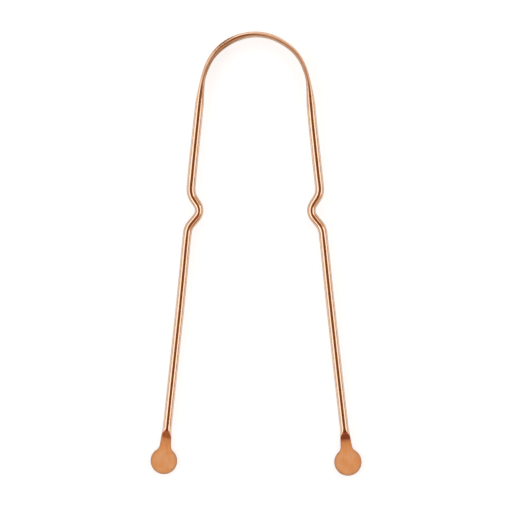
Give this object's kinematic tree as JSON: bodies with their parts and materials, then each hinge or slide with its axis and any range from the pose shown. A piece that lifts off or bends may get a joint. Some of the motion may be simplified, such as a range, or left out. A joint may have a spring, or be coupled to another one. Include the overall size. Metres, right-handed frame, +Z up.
{
  "type": "tongue scraper",
  "caption": "U-shaped copper tongue scraper with a thin arched band, a thumb bend in each leg and flat round end discs.",
  "frame": {"origin": "on the table the scraper lies on, under the middle of its footprint", "axes": "+Z up, +Y from the end discs towards the top of the arch, +X to the right seen from above. The wire's own mid-plane leans 0.52 degrees about X, because the band is wider than the rod is thick."},
  "size_m": [0.0712, 0.1496, 0.0051],
  "materials": {
    "band_copper": "polished copper, with fine lines along the rolled band",
    "rod_copper": "bright polished copper rod",
    "pressed_copper": "satin copper, as the pressing dies leave it"
  },
  "bodies": {
    "crown": {"band_crown": "band_copper"},
    "left_handle": {"left_band_shoulder": "band_copper", "left_taper": "rod_copper", "left_upper_leg": "rod_copper", "left_upper_bend": "rod_copper", "left_thumb_rest": "rod_copper", "left_lower_bend": "rod_copper", "left_lower_leg": "rod_copper", "left_neck": "pressed_copper", "left_end_disc": "pressed_copper"},
    "right_handle": {"right_band_shoulder": "band_copper", "right_taper": "rod_copper", "right_upper_leg": "rod_copper", "right_upper_bend": "rod_copper", "right_thumb_rest": "rod_copper", "right_lower_bend": "rod_copper", "right_lower_leg": "rod_copper", "right_neck": "pressed_copper", "right_end_disc": "pressed_copper"}
  },
  "joints": [
    {"name": "left_flex", "type": "hinge", "parent": "crown", "child": "left_handle", "pos_m": [-0.01409, 0.06604, 0.00257], "axis": [0, -0.009, 1], "range_deg": [-5, 5], "stiffness_Nm_per_rad": 4.9, "deforming": ["left_band_shoulder"]},
    {"name": "right_flex", "type": "hinge", "parent": "crown", "child": "right_handle", "pos_m": [0.01409, 0.06604, 0.00257], "axis": [0, -0.009, 1], "range_deg": [-5, 5], "stiffness_Nm_per_rad": 4.9, "deforming": ["right_band_shoulder"]}
  ],
  "couplings": [
    {"joint": "right_flex", "follows": "left_flex", "ratio": -1}
  ]
}
